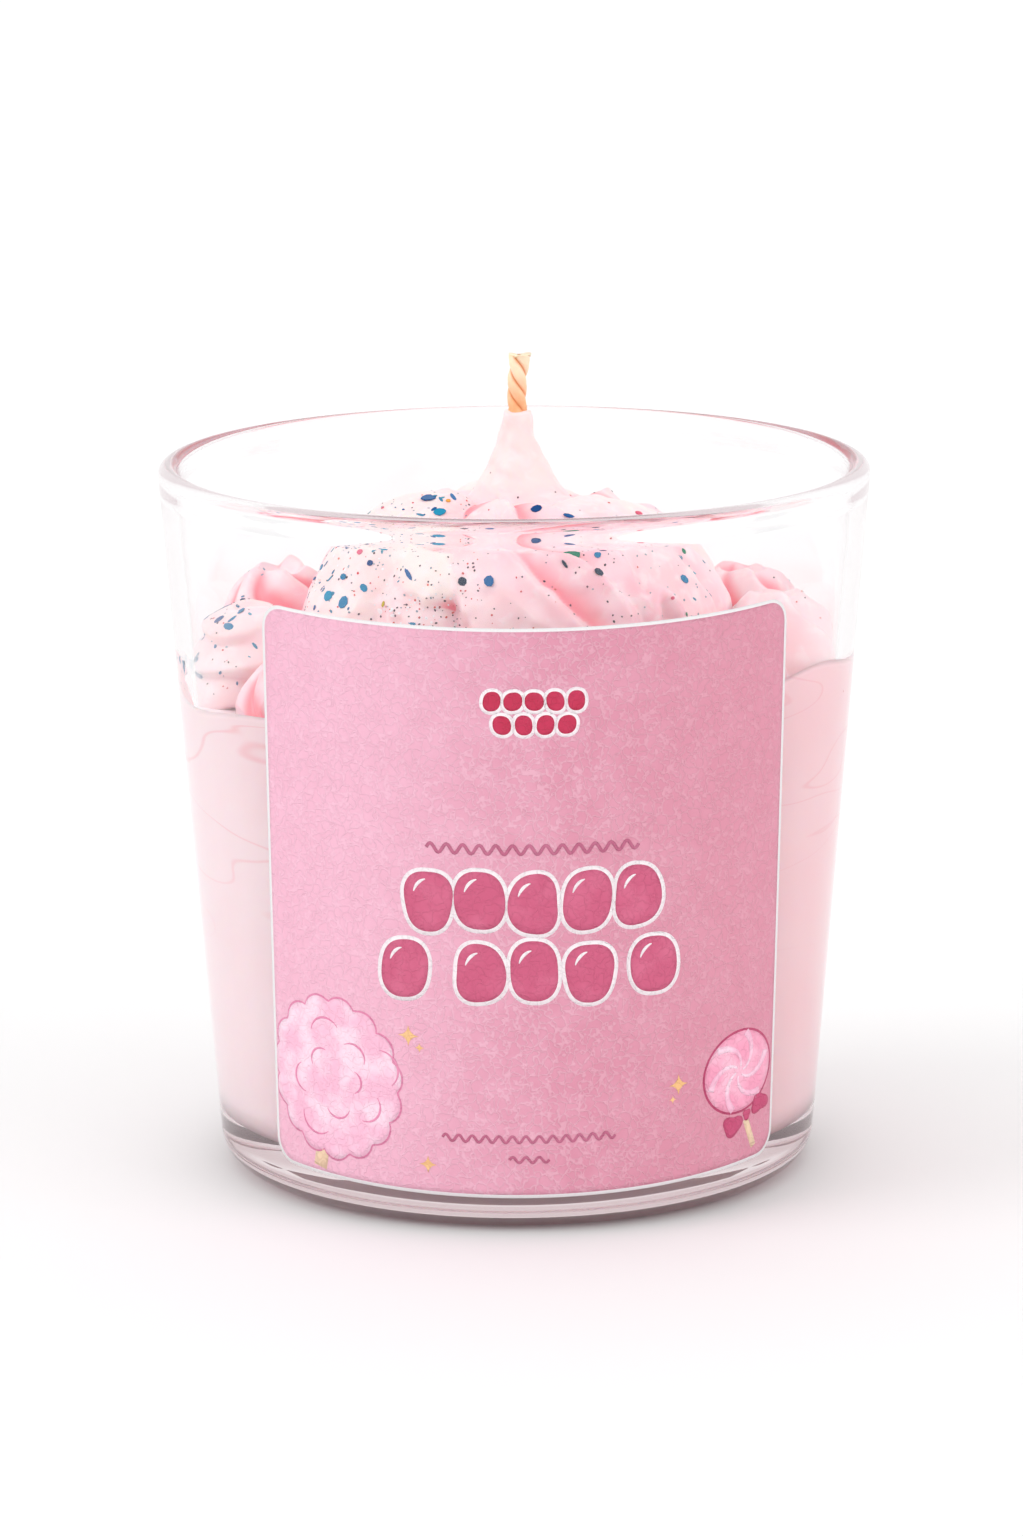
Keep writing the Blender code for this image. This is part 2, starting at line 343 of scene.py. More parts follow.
# Heights in metres between which the wall's look turns into the base's
SHADOW_BLEND = (0.009, 0.006)
BASE_SHADE_BLEND = (0.0085, 0.0055)
tree = clear_glass.node_tree
path = add_node(tree, "ShaderNodeLightPath").outputs
turned_often = maths(tree, "GREATER_THAN", path["Ray Depth"], MOST_TURNS)
bounced_often = maths(tree, "GREATER_THAN", path["Glossy Depth"], MOST_BOUNCES)
spent = maths(tree, "MAXIMUM", turned_often, bounced_often)
passes = maths(tree, "MAXIMUM", path["Is Shadow Ray"], spent)
height = object_space(tree)[3]
shadow = mixed(tree, spread(tree, height, *SHADOW_BLEND), WALL_SHADOW, BASE_SHADOW)
# Painted shade: light let through after too many turns is dimmed to grey pink
dimmed = mixed(tree, spent, shadow, SPENT_PAINTED_SHADE)
through = add_node(tree, "ShaderNodeBsdfTransparent", {"Color": dimmed}).outputs[0]
# Painted shade and painted reflection: the thick base is tinted grey pink
tint_and_base_shade = mixed(tree, spread(tree, height, *BASE_SHADE_BLEND), WALL_TINT, BASE_PAINTED_SHADE)
feed(clear_glass, Base_Color=tint_and_base_shade)
glass_shader = tree.nodes["Principled BSDF"].outputs[0]
surface = add_node(tree, "ShaderNodeMixShader", {0: passes, 1: glass_shader, 2: through}).outputs[0]
tree.links.new(surface, tree.nodes["Material Output"].inputs["Surface"])
glass_shell = shell(turned(glass_profile, GLASS_COLUMNS), [(0, 0, BASE_THICKNESS), (0, 0, PUNT_DEPTH)])
make_piece("tumbler", [glass_shell], clear_glass, "clear_glass", "glass")

# ------------------------------------------------------------
# Poured wax. Pale pink wax that set against the glass. It reaches just into the wall, so that no air
# shows between them, and its edge creeps unevenly up the glass.

WAX_INTO_WALL = 0.14
WAX_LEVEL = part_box("poured_wax")[1].z / MM


def waves(points, length, seed, count=7):
    """Smooth noise from about -1 to 1: sines along random directions, each about a length long in mm."""
    random = np.random.default_rng(seed)
    total = 0
    for _ in range(count):
        along = random.normal(size=3)
        along *= 2 * np.pi / (length * random.uniform(0.7, 1.4) * np.linalg.norm(along))
        total = total + np.sin(points @ along + random.uniform(0, 2 * np.pi))
    return total / count**0.5 / 1.3


WAX_COLUMNS = 320
CREEP = 2.2
CREEP_SWING = 1.3
CREEP_RIGHT = 4.2
PINKER_FROM, PINKER_OVER = 42, 22
turn = whole_turn(WAX_COLUMNS)
round_z = np.stack([np.cos(turn), np.sin(turn), 0 * turn], axis=-1)
# Higher at the right, where more of the whipped wax ran down the glass
shoreline = WAX_LEVEL + CREEP + CREEP_SWING * waves(round_z * 40, 30, 3)
shoreline = shoreline + CREEP_RIGHT * np.clip(np.cos(turn + 0.5), 0, 1) ** 2
corner = WELL_CORNER + WAX_INTO_WALL
floor_z = BASE_THICKNESS - WAX_INTO_WALL
wax_profile = np.concatenate(
    [
        line((0, floor_z), (well_r - WELL_CORNER, floor_z), 4),
        arc(well_r - WELL_CORNER, BASE_THICKNESS + WELL_CORNER, corner, -90, 0, 10),
    ]
)
side_share = np.linspace(0, 1, 60)[1:, None]
side_z = wax_profile[-1, 1] + (shoreline - wax_profile[-1, 1]) * side_share
side_r = inner_radius(side_z) + WAX_INTO_WALL
side_rings = np.stack([side_r * np.cos(turn), side_r * np.sin(turn), side_z], axis=-1)
top_share = np.linspace(1, 0, 14)[1:-1, None]
top_z = WAX_LEVEL + (shoreline - WAX_LEVEL) * top_share**12
top_r = side_r[-1] * top_share
top_rings = np.stack([top_r * np.cos(turn), top_r * np.sin(turn), top_z], axis=-1)
wax_rings = np.concatenate([turned(wax_profile, WAX_COLUMNS), side_rings, top_rings])
# Painted shade: the wax is painted pinker and darker towards the right, away from the key lamp. It also turns
# pinker towards the top, and its tone wanders at random.
to_right = 0.5 + 0.5 * np.cos(np.arctan2(wax_rings[..., 1], wax_rings[..., 0]) + 0.4)
near_top = np.clip((wax_rings[..., 2] - PINKER_FROM) / PINKER_OVER, 0, 1)
blush = to_right * 0.75 + near_top * 0.22 + 0.12 * waves(wax_rings, 22, 4) + 0.06 * waves(wax_rings, 7, 5)

WAX_PALE = (0.99, 0.81, 0.84, 1)
WAX_PINK = (0.99, 0.65, 0.69, 1)
VEIN_PINK = (0.93, 0.47, 0.52, 1)
SEAM_AT = 0.52
SEAM_WIDTH = 0.009
poured_wax = new_material(
    "poured_wax", WAX_PALE[:3], 0.42, Subsurface_Weight=0.15, Subsurface_Scale=0.002, IOR=1.44
)
tree = poured_wax.node_tree
places, _, _, height = object_space(tree)
stretch = add_node(tree, "ShaderNodeMapping", {"Vector": places, "Scale": (0.35, 0.35, 1.6)}).outputs[0]
# Painted shade at the right, with the pinker top and uneven tone, from the pale wax to WAX_PINK
tone = mixed(tree, spread(tree, attribute(tree, "blush"), 0.1, 0.95), WAX_PALE, WAX_PINK)
# Thin seams, where one fold of the wax set against the last: the middle values of a soft noise
seam_noise = noise(tree, stretch, 75.0, 1.0, 0.5)
off_middle = maths(tree, "ABSOLUTE", maths(tree, "SUBTRACT", seam_noise, SEAM_AT))
seam = spread(tree, off_middle, SEAM_WIDTH, 0.0)
in_upper = spread(tree, height, 0.024, 0.052, 0.0, 0.5)
seam = maths(tree, "MULTIPLY", seam, in_upper)
feed(poured_wax, Base_Color=mixed(tree, seam, tone, VEIN_PINK))
wax_shell = shell(wax_rings, [(0, 0, floor_z), (0, 0, WAX_LEVEL)])
make_piece("wax_fill", [wax_shell], poured_wax, "poured_wax", "poured_wax", blush=blush)

# ------------------------------------------------------------
# Whipped wax, big swirl. Two colours of whipped wax piped in one turn of a wide star nozzle, which left
# round ribs that wind down the dome. Its middle was drawn up round the wick into a peak.

LEAN = 0.4
# Height and radius of the creases between the folds, from the peak to the base
DOME = [
    *[(94.6, 1.62), (93.4, 1.85), (91.2, 2.4), (88.6, 3.3), (86.2, 4.4), (84.0, 5.8), (82.3, 8.4)],
    *[(81.0, 11.6), (79.4, 15.0), (77.4, 18.1), (75.0, 20.9), (71.8, 22.7), (68.2, 23.7)],
    *[(64.4, 23.7), (60.6, 23.0)],
]
CONE_LENGTH = 13.0
CONE_FOOT = 83.5
CONE_CREAM = 0.75
SWIRL_ROWS, SWIRL_COLUMNS = 150, 600
# Each fold of wax lies along a path of places (degrees round from the front, mm down from the peak).
# Then come its half width in mm, its height, its share of cream and how much coral painted shade its hollow
# side takes. Three numbers in place of the half width make a ridge: its width to the left and to the right,
# as walked down the path, and the share of its height that the wider, gentle side loses before it ends.
FOLDS = [
    ([(-66, 23), (-63, 29), (-61, 36), (-59, 44)], 8.4, 5.0, 0.7, 0.1),
    ([(-50, 22), (-38, 24), (-25, 27)], (2.2, 5.0, 0.3), 4.3, 1.0, 1.0),
    ([(-37, 30.5), (-31, 35), (-26, 43)], 5.2, 2.9, 0.4, 0.2),
    (
        [(-24, 21), (-21.5, 26), (-20, 28.5), (-16, 31.5), (-10, 35), (-4, 43)],
        (4.4, 1.2, 0.3), 3.6, 0.3, 0.3,
    ),
    (
        [(-18, 22.5), (-12, 26), (-6.5, 28.6), (0, 30.9), (8, 33.6), (16, 37.4), (24, 44)],
        (1.2, 4.8, 0.3), 4.0, 0.3, 0.6,
    ),
    (
        [(-9, 21), (-3.5, 25.8), (1.5, 28), (6.5, 29.9), (12, 31.8), (20, 34.4), (29, 38.4), (37, 44)],
        (1.3, 5.2, 0.36), 4.8, 0.1, 0.8,
    ),
    (
        [(-6, 18.5), (3, 23.2), (13, 26.2), (21.5, 28.8), (27, 31), (30, 34), (32, 38), (38, 44)],
        (1.7, 7.4, 0.85), 5.9, 0.0, 1.35,
    ),
    ([(19, 19), (30, 24.6), (33.5, 28), (35.5, 31), (37, 34)], (1.6, 6.2, 0.5), 4.6, 0.0, 1.4),
    ([(36, 37.5), (36.5, 33.5), (40, 31.2), (44.5, 32.2), (47, 36.5)], 1.3, 5.5, 0.0, 1.0),
    ([(42, 20), (45, 26.7), (50, 31.5), (57, 37.3), (62, 44)], 6.6, 4.5, 0.2, 0.35),
    ([(68, 23), (74, 30), (79, 38)], 4.4, 3.6, 0.1, 0.7),
    ([(90, 23), (98, 29), (106, 37), (112, 45)], 6.0, 3.0, 0.7, 0.4),
    ([(113, 23), (122, 29), (133, 38), (140, 46)], (1.6, 6.4, 0.7), 3.6, 0.0, 1.0),
    ([(139, 22), (149, 28), (160, 36), (168, 45)], (1.6, 7.0, 0.7), 4.0, 0.3, 0.9),
    ([(167, 23), (177, 29), (188, 38), (195, 46)], (1.6, 7.0, 0.7), 3.7, 0.0, 1.0),
    ([(193, 22), (204, 28), (216, 36), (224, 45)], 5.8, 3.9, 0.9, 0.4),
    ([(221, 23), (231, 29), (240, 37), (246, 45)], (1.6, 6.0, 0.7), 3.7, 0.1, 0.9),
    ([(-117, 26), (-107, 31), (-98, 38), (-92, 45)], 5.4, 3.6, 0.1, 0.8),
    ([(-104, 22), (-94, 25)], 4.4, 3.0, 0.1, 0.3),
    ([(-80, 18.5), (-62, 20.5)], 4.4, 3.4, 1.0, 0.2),
    ([(-84, 15), (-60, 16), (-40, 19.5)], 3.6, 3.0, 0.2, 0.2),
    ([(-26, 15.5), (-20, 19.5)], 3.2, 1.8, 0.2, 0.5),
    ([(2, 15), (10, 19)], 3.6, 1.5, 0.1, 0.5),
    ([(36, 14), (31, 19)], 4.0, 1.8, 0.1, 0.3),
    ([(58, 18.5), (80, 20)], 4.4, 3.4, 0.9, 0.2),
    ([(98, 17), (112, 20)], 4.4, 1.6, 0.1, 0.5),
    ([(134, 15), (146, 18)], 4.4, 1.0, 0.7, 0.4),
    ([(172, 15), (186, 18)], 4.4, 1.0, 0.1, 0.5),
    ([(208, 14), (222, 17)], 4.4, 1.1, 0.8, 0.4),
    ([(240, 16), (252, 20)], 4.4, 1.5, 0.1, 0.5),
]


def smooth_path(stations, count):
    """A Catmull-Rom curve through the stations, with count points at even steps."""
    stations = np.asarray(stations, float)
    padded = np.concatenate([[2 * stations[0] - stations[1]], stations, [2 * stations[-1] - stations[-2]]])
    at = np.linspace(0, len(stations) - 1, count)
    i = np.minimum(at.astype(int), len(stations) - 2)
    t = (at - i)[:, None]
    p0, p1, p2, p3 = (padded[i + k] for k in range(4))
    bend = (2 * p0 - 5 * p1 + 4 * p2 - p3) * t**2 + (3 * p1 - p0 - 3 * p2 + p3) * t**3
    return p1 + 0.5 * ((p2 - p0) * t + bend)


def folded_wax(outline, folds, bare, rows, columns):
    """Whipped wax in folds: rings of points, each point's coral painted shade in the creases, and its share
    of cream.

    The outline (z, r) turned round Z is the floor of the creases. At u half widths from its path, a fold
    stands height * sqrt(1 - u ** 2) above that. A ridge stands height * (1 - fall * u) * sqrt(1 - u ** 8)
    on its gentle side, and height * (1 - u ** 1.5) on its steep side. The folds join as the 8th root of the
    sum of their heights to the 8th, which leaves a crease between them, and the surface rises by that along
    the outline's normal. Over the first few mm from the top, bare, the folds fade in.
    """
    path = smooth_path(outline, 400)
    length = np.concatenate([[0], np.cumsum(np.hypot(*np.diff(path, axis=0).T))])
    down = np.linspace(0, length[-1], rows)
    z, r = (np.interp(down, length, path[:, i]) for i in (0, 1))
    slope = unit(np.stack([np.gradient(r, down), -np.gradient(z, down)], axis=-1))
    turn = whole_turn(columns)
    floor_rise = 0.4
    heights, crests, creams, hollow_shades = [np.full((rows, columns), floor_rise)], [4.0], [0.1], [0.3]
    for stations, half_width, height, cream, hollow_shade in folds:
        ridge = np.ndim(half_width) > 0
        left, right, fall = half_width if ridge else (half_width, half_width, 0)
        at, along = smooth_path(stations, 40).T
        at = np.radians(at)
        step = np.stack([np.gradient(at) * np.interp(along, down, r), np.gradient(along)], axis=-1)
        nearest = np.full((rows, columns), 1e9)
        leftward = np.zeros((rows, columns), bool)
        for place, depth, (round_step, down_step) in zip(at, along, step):
            across = ((turn - place + np.pi) % (2 * np.pi) - np.pi)[None, :] * r[:, None]
            below = (down - depth)[:, None]
            span = np.hypot(across, below)
            nearer = span < nearest
            nearest = np.where(nearer, span, nearest)
            leftward = np.where(nearer, across * down_step > below * round_step, leftward)
        u = np.clip(nearest / np.where(leftward, left, right), 0, 1)
        if ridge:
            gentle = leftward if left > right else ~leftward
            heights.append(height * np.where(gentle, (1 - fall * u) * np.sqrt(1 - u**8), 1 - u**1.5))
        else:
            heights.append(height * np.sqrt(1 - u**2))
        crests.append(height)
        creams.append(cream)
        hollow_shades.append(hollow_shade)
    power = np.array(heights) ** 8
    total = power.sum(axis=0)
    share = power / total
    lift = total ** (1 / 8)
    for _ in range(2):  # soften what the grid leaves jagged along a ridge
        lift = (np.roll(lift, 1, axis=1) + 2 * lift + np.roll(lift, -1, axis=1)) / 4
        lift[1:-1] = (lift[:-2] + 2 * lift[1:-1] + lift[2:]) / 4
    cream, hollow_shade, crest = (np.tensordot(np.array(values), share, 1) for values in (creams, hollow_shades, crests))
    fade = np.clip(down / bare, 0, 1)[:, None] ** 2
    # Painted shade: the further a point lies below the crests, the more coral it is painted
    fold = hollow_shade * np.clip(1 - lift / crest, 0, 1) * fade
    out = r[:, None] + lift * fade * slope[:, 1:]
    up = z[:, None] + lift * fade * slope[:, :1]
    angle = turn[None, :] - np.pi / 2
    return np.stack([out * np.cos(angle), out * np.sin(angle), up], axis=-1), fold, cream


swirl_rings, swirl_crease_shade, swirl_cream = folded_wax(DOME, FOLDS, CONE_LENGTH, SWIRL_ROWS, SWIRL_COLUMNS)
on_cone = np.clip((swirl_rings[..., 2] - CONE_FOOT) / 3, 0, 1)
swirl_cream = swirl_cream * (1 - on_cone) + CONE_CREAM * on_cone
peak_share = np.clip((swirl_rings[..., 2:] - 85) / 8, 0, 1)
# Broad lumps, which fade up the peak, and small ones
lumps = 0.3 * waves(swirl_rings, 9, 11)[..., None] * np.array([0.7, 0.7, 1.0])
swirl_rings += lumps * (1 - peak_share * 0.8)
swirl_rings += 0.12 * waves(swirl_rings, 3, 12)[..., None] * np.array([1.0, 1.0, 0.6])
swirl_rings[..., 0] += LEAN

PALE_PINK = (0.97, 0.66, 0.72, 1)
DUSKY_PINK = (0.96, 0.53, 0.60, 1)
CORAL_CREASE_SHADE = (0.98, 0.25, 0.31, 1)
CREAM = (0.97, 0.80, 0.77, 1)
WHITE_BLOOM = (0.98, 0.88, 0.89, 1)
whipped_wax = new_material(
    "whipped_wax", PALE_PINK[:3], 0.38, Subsurface_Weight=0.2, Subsurface_Scale=0.0015, IOR=1.44
)
tree = whipped_wax.node_tree
places = object_space(tree)[0]
# The two colours are only half stirred: broad clouds, and a finer pale bloom over them
cloud = noise(tree, places, 110.0, 2.0)
bloom = noise(tree, places, 420.0, 3.0, 0.4)
tone = mixed(tree, spread(tree, cloud, 0.42, 0.66), PALE_PINK, DUSKY_PINK)
tone = mixed(tree, attribute(tree, "cream"), tone, CREAM)
tone = mixed(tree, spread(tree, bloom, 0.48, 0.72, 0.0, 0.45), tone, WHITE_BLOOM)
# Painted shade: the hollow sides of the creases are coloured coral
tone = mixed(tree, spread(tree, attribute(tree, "fold"), 0.22, 0.6), tone, CORAL_CREASE_SHADE)
gloss = spread(tree, bloom, 0.35, 0.7, 0.3, 0.5)
feed(whipped_wax, Base_Color=tone, Roughness=gloss, Normal=bump(tree, bloom, 0.25, 0.00015))

swirl_shell = shell(swirl_rings, [(LEAN, 0, DOME[0][0] + 0.1), (LEAN, 0, DOME[-1][0])])
looks = dict(fold=swirl_crease_shade, cream=swirl_cream)
make_piece("big_swirl", [swirl_shell], whipped_wax, "whipped_wax", "centre_swirl", **looks)

# ------------------------------------------------------------
# Whipped wax, ring of small swirls. Each was piped between the big swirl and the glass through the same
# star nozzle, and is pressed flat where it meets the wall.

# Height below the top and radius of the creases
SMALL_DOME = [(0.0, 0.4), (-0.4, 1.4), (-1.4, 3.0), (-3.0, 4.4)]
SMALL_DOME += [(-5.2, 5.4), (-7.8, 6.0), (-10.0, 6.1), (-11.6, 5.8)]
SMALL_BARE = 1.5
SMALL_ROWS, SMALL_COLUMNS = 76, 190
PETALS = 5
PETAL_RISE = 3.2
# The tops behind the label stay below its upper edge
TOP_BEHIND_LABEL = 70.4
BEHIND_LABEL = -14
OUTWARD = 1.04
WHIPPED_INTO_WALL = 0.1
ring_nodes = [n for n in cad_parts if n.startswith("rosette_")]
ring_nodes.sort(key=lambda n: int(n.split("_")[1]))
random = np.random.default_rng(5)
# The one at the right slumped while it set, and the one at the front left settled in a stack of folds
SLUMPED = 1
STACKED = 7
STACKED_FOLDS = [
    ([(-175, 3), (-120, 4.6), (-60, 5.2), (0, 4.6)], (4.2, 1.1, 0.6), 2.9, 0.5, 0.4),
    ([(-165, 7.4), (-110, 8.6), (-50, 9.2), (20, 8)], (4.2, 1.0, 0.6), 3.0, 0.4, 0.4),
    ([(-155, 11.4), (-100, 12.4), (-30, 12.8)], (4.0, 1.2, 0.6), 2.9, 0.3, 0.4),
    ([(30, 4), (80, 8), (120, 13)], 4.0, 2.8, 0.2, 0.6),
]
small_swirls = []
for number, node in enumerate(ring_nodes, 1):
    low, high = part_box(node)
    middle = np.array([(low.x + high.x) / 2, (low.y + high.y) / 2, 0]) / MM
    top = TOP_BEHIND_LABEL if middle[1] < BEHIND_LABEL else high.z / MM - 0.3
    outline = [(top - PETAL_RISE + z, r) for z, r in SMALL_DOME]
    folds = []
    even = random.uniform(0, 360) + np.arange(PETALS) * 360 / PETALS
    for at in even + random.uniform(-11, 11, PETALS):
        # How far it winds, its start, width and height in mm, and its share of cream
        wind, start, wide, tall, pale = random.uniform(
            (0.8, 1.0, 3.9, 3.0, 0), (1.25, 2.4, 4.7, 3.6, 0.35)
        )
        path = [(at, start), (at + 36 * wind, 5.5), (at + 62 * wind, 10), (at + 82 * wind, 16)]
        # The last number is the coral painted shade in each fold's hollows
        if number == SLUMPED:
            folds.append((path, (1.6, wide + 0.8, 0.5), 0.9 * tall, pale, 0.6))
        else:
            folds.append((path, (1.4, wide + 0.8, 0.8), tall, 0.5 * pale, 1.5))
    if number == STACKED:
        folds = STACKED_FOLDS
    rings, fold, cream = folded_wax(outline, folds, SMALL_BARE, SMALL_ROWS, SMALL_COLUMNS)
    rings += 0.25 * waves(rings + middle, 6, 19 + number)[..., None]
    rings += middle * OUTWARD
    wall = inner_radius(rings[..., 2]) + WHIPPED_INTO_WALL
    rings[..., :2] *= np.minimum(1, wall / np.hypot(rings[..., 0], rings[..., 1]))[..., None]
    poles = [rings[0].mean(axis=0), rings[-1].mean(axis=0)]
    name, shells = f"small_swirl_{number}", [shell(rings, poles)]
    make_piece(name, shells, whipped_wax, "whipped_wax", node, fold=fold, cream=cream)
    small_swirls.append(rings)

# ------------------------------------------------------------
# Glitter. Flat flakes of coloured film, from dust to 2.3 mm, were scattered on the soft wax and sank in
# until they lay level with it. Most fell on the left of the big swirl and against the glass there.

FLAKE_SIDES = 8
swirl_path = smooth_path(DOME, 400)
SWIRL_LENGTH = np.hypot(*np.diff(swirl_path, axis=0).T).sum()


def laid_on(rings, rows, columns):
    """The points of a ring surface at these rows and columns, and the outward normals there."""
    down = rings[np.minimum(rows + 1, len(rings) - 1), columns] - rings[np.maximum(rows - 1, 0), columns]
    count = rings.shape[1]
    along = rings[rows, (columns + 1) % count] - rings[rows, (columns - 1) % count]
    normals = np.cross(down, along)
    normals /= np.linalg.norm(normals, axis=1, keepdims=True) + 1e-9
    points = rings[rows, columns]
    middle = rings.reshape(-1, 3).mean(axis=0) - (0, 0, 3)
    normals[np.einsum("ij,ij->i", normals, points - middle) < 0] *= -1
    return points, normals


def flakes(name, places, sizes, colours, seed, thickness=0.05, stretch=1.25, gloss=0.25):
    """Thin eight-sided flakes in one mesh, each a disc of its size, level with the wax.

    Each is stretched one way, tilted and turned at random. colours are the two ends of its tone.
    """
    points, normals = places
    random = np.random.default_rng(seed)
    count = len(points)
    tilted = unit(normals + random.normal(0, 0.07, (count, 3)))
    across = unit(np.cross(tilted, random.normal(size=(count, 3))))
    other = np.cross(tilted, across)
    sizes = np.broadcast_to(sizes, count)[:, None, None] / 2
    longer = random.uniform(1, stretch, count)[:, None, None]
    angle = whole_turn(FLAKE_SIDES)[None, :, None]
    uneven = random.uniform(0.86, 1.0, (count, FLAKE_SIDES, 1))
    round_edge = longer * np.cos(angle) * across[:, None] + np.sin(angle) * other[:, None] / longer
    edge = sizes * uneven * round_edge
    thick = (tilted * thickness)[:, None]
    centre = points[:, None]
    cells = np.concatenate([centre + edge + thick, centre + edge, centre + thick, centre], axis=1)
    n = FLAKE_SIDES
    here, after = np.arange(n), np.roll(np.arange(n), -1)
    sides = np.stack([here, here + n, after + n, after], axis=-1)
    front = np.stack([here, after, np.full(n, 2 * n)], axis=-1)
    back = np.stack([after + n, here + n, np.full(n, 2 * n + 1)], axis=-1)
    caps = np.concatenate([front, back])
    offset = (np.arange(count) * (2 * n + 2))[:, None, None]
    all_sides = (sides[None] + offset).reshape(-1, 4)
    all_caps = (caps[None] + offset).reshape(-1, 3)
    film = new_material(name + "_film", colours[0], gloss, Specular_IOR_Level=0.08)
    tone_in = attribute(film.node_tree, "tone")
    feed(film, Base_Color=mixed(film.node_tree, tone_in, (*colours[0], 1), (*colours[1], 1)))
    shade = np.repeat(random.uniform(0, 1, count), 2 * n + 2)
    make_piece(name, [(cells.reshape(-1, 3), all_sides, all_caps)], film, smooth=False, tone=shade)


def on_swirl(places):
    """Places (degrees round from the front, mm down from the peak) as points and normals on the big swirl."""
    at, down = np.asarray(places, float).T
    columns = np.round(at / 360 * swirl_rings.shape[1]).astype(int) % swirl_rings.shape[1]
    last = len(swirl_rings) - 1
    rows = np.clip(np.round(down / SWIRL_LENGTH * last).astype(int), 0, last)
    return laid_on(swirl_rings, rows, columns)


def scattered(count, seed, centre, reach):
    """Random places round a centre (degrees, mm down), thinning out evenly over the reach."""
    random = np.random.default_rng(seed)
    return np.asarray(centre) + random.normal(0, 0.5, (count, 2)) * reach


def on_small(number, count, seed, low, high):
    """Random places on a small swirl between two heights, on the half that faces out to the glass."""
    rings = small_swirls[number - 1]
    random = np.random.default_rng(seed)
    middle = rings.reshape(-1, 3).mean(axis=0)
    outward = (rings[..., 0] - middle[0]) * middle[0] + (rings[..., 1] - middle[1]) * middle[1]
    rows, columns = np.nonzero((rings[..., 2] > low) & (rings[..., 2] < high) & (outward > 0))
    picked = random.integers(0, len(rows), count)
    return laid_on(rings, rows[picked], columns[picked])


BIG_THICKNESS = 0.1
# name, places, sizes, the two ends of the tone, stretch
BIG_FLAKES = (
    ("sea_blue_flakes",
     [(-58, 32.5), (-52, 32.4), (-56, 30.2), (-48, 30.6), (52, 30.3)]
     + [(-49, 26.5), (-71, 30.3), (-43, 19), (26, 26.8)],
     (1.6, 1.6, 0.9, 1.1, 1.3, 1.0, 0.8, 1.7, 0.9), ((0.0, 0.16, 0.36), (0.0, 0.30, 0.48)), 1.2),
    ("deep_blue_flakes",
     [(-8, 28.9), (-58, 17.9), (10, 18.1), (-50, 29), (-62, 28.4)]
     + [(-97, 32.4), (-63, 34), (-75, 33), (-66, 24)],
     (1.5, 2.3, 1.5, 0.8, 0.7, 0.7, 0.8, 0.9, 0.8), ((0.0, 0.05, 0.2), (0.0, 0.14, 0.38)), 1.25),
    ("long_blue_flakes", [(-35, 28.6), (22, 20.8), (-52, 15.5)],
     (1.2, 1.1, 1.0), ((0.0, 0.08, 0.28), (0.05, 0.18, 0.4)), 2.2),
    ("violet_flakes", [(-17, 29.2), (29, 25.9), (14, 28), (22, 29.2)],
     (1.2, 0.7, 0.7, 1.2), ((0.03, 0.02, 0.13), (0.01, 0.03, 0.06)), 1.7),
    ("green_flakes", [(19, 25.4), (46, 33.5), (66, 28)],
     (2.3, 0.6, 0.6), ((0.03, 0.21, 0.0), (0.0, 0.2, 0.16)), 1.3),
    ("gold_flakes", [(-49, 16.7), (-41, 31.5), (40, 33.5), (-78, 36)],
     (0.8, 0.6, 0.5, 0.8), ((0.8, 0.33, 0.03), (0.5, 0.45, 0.02)), 1.7),
    ("rose_flakes", [(65, 21.4), (-55, 28.3), (43, 31.8), (-70, 22)],
     (1.1, 0.8, 0.5, 0.5), ((0.7, 0.08, 0.16), (0.75, 0.16, 0.26)), 1.2),
)
for name, places, sizes, colours, stretch in BIG_FLAKES:
    flakes(name, on_swirl(places), sizes, colours, len(name), thickness=BIG_THICKNESS, stretch=stretch)


def strewn(name, seed, on_big, on_ring, sizes, colours, by_hand=(), hand_sizes=(), **look):
    """One kind of flake strewn at random, with its sizes even between two ends.

    on_big holds (count, centre, reach) groups on the big swirl, and on_ring holds (number, count, low, high)
    groups on the small swirls. The seed counts up by one from group to group. by_hand and hand_sizes are
    extra flakes at set places on the big swirl.
    """
    groups = [on_swirl(by_hand)] if by_hand else []
    for count, centre, reach in on_big:
        groups.append(on_swirl(scattered(count, seed, centre, reach)))
        seed += 1
    for number, count, low, high in on_ring:
        groups.append(on_small(number, count, seed, low, high))
        seed += 1
    places = tuple(np.concatenate(parts) for parts in zip(*groups))
    drawn = np.random.default_rng(seed).uniform(*sizes, len(places[0]) - len(hand_sizes))
    flakes(name, places, np.concatenate([hand_sizes, drawn]), colours, seed + 1, **look)


WIDE = (180, 28), (170, 16)  # centre and reach of what fell thinly all round the back
strewn(
    "small_blue_flakes", 41,
    [(44, (-62, 30), (24, 9)), (10, (-58, 19), (26, 4)), (12, (66, 30), (14, 9)), (34, (180, 27), (150, 14))],
    [(7, 26, 62, 73), (6, 12, 64, 75), (2, 6, 64, 75)],
    (0.2, 0.75), ((0.01, 0.10, 0.28), (0.08, 0.34, 0.46)), stretch=1.9,
)
strewn(
    "wall_flakes", 51, [], [(7, 14, 63, 71.5)],
    (0.9, 1.7), ((0.01, 0.07, 0.24), (0.02, 0.20, 0.38)), stretch=1.9,
)
strewn(
    "white_glitter", 61, [(90, (-28, 34), (16, 6)), (40, (-62, 33), (24, 8))], [],
    (0.15, 0.42), ((0.85, 0.85, 0.88), (0.95, 0.88, 0.90)),
    by_hand=[(-42, 32.5), (-37, 32), (-38, 34), (-30, 36), (-21, 34.5), (-19, 33)],
    hand_sizes=(0.9, 0.7, 0.7, 0.6, 0.6, 0.5), gloss=0.1,
)
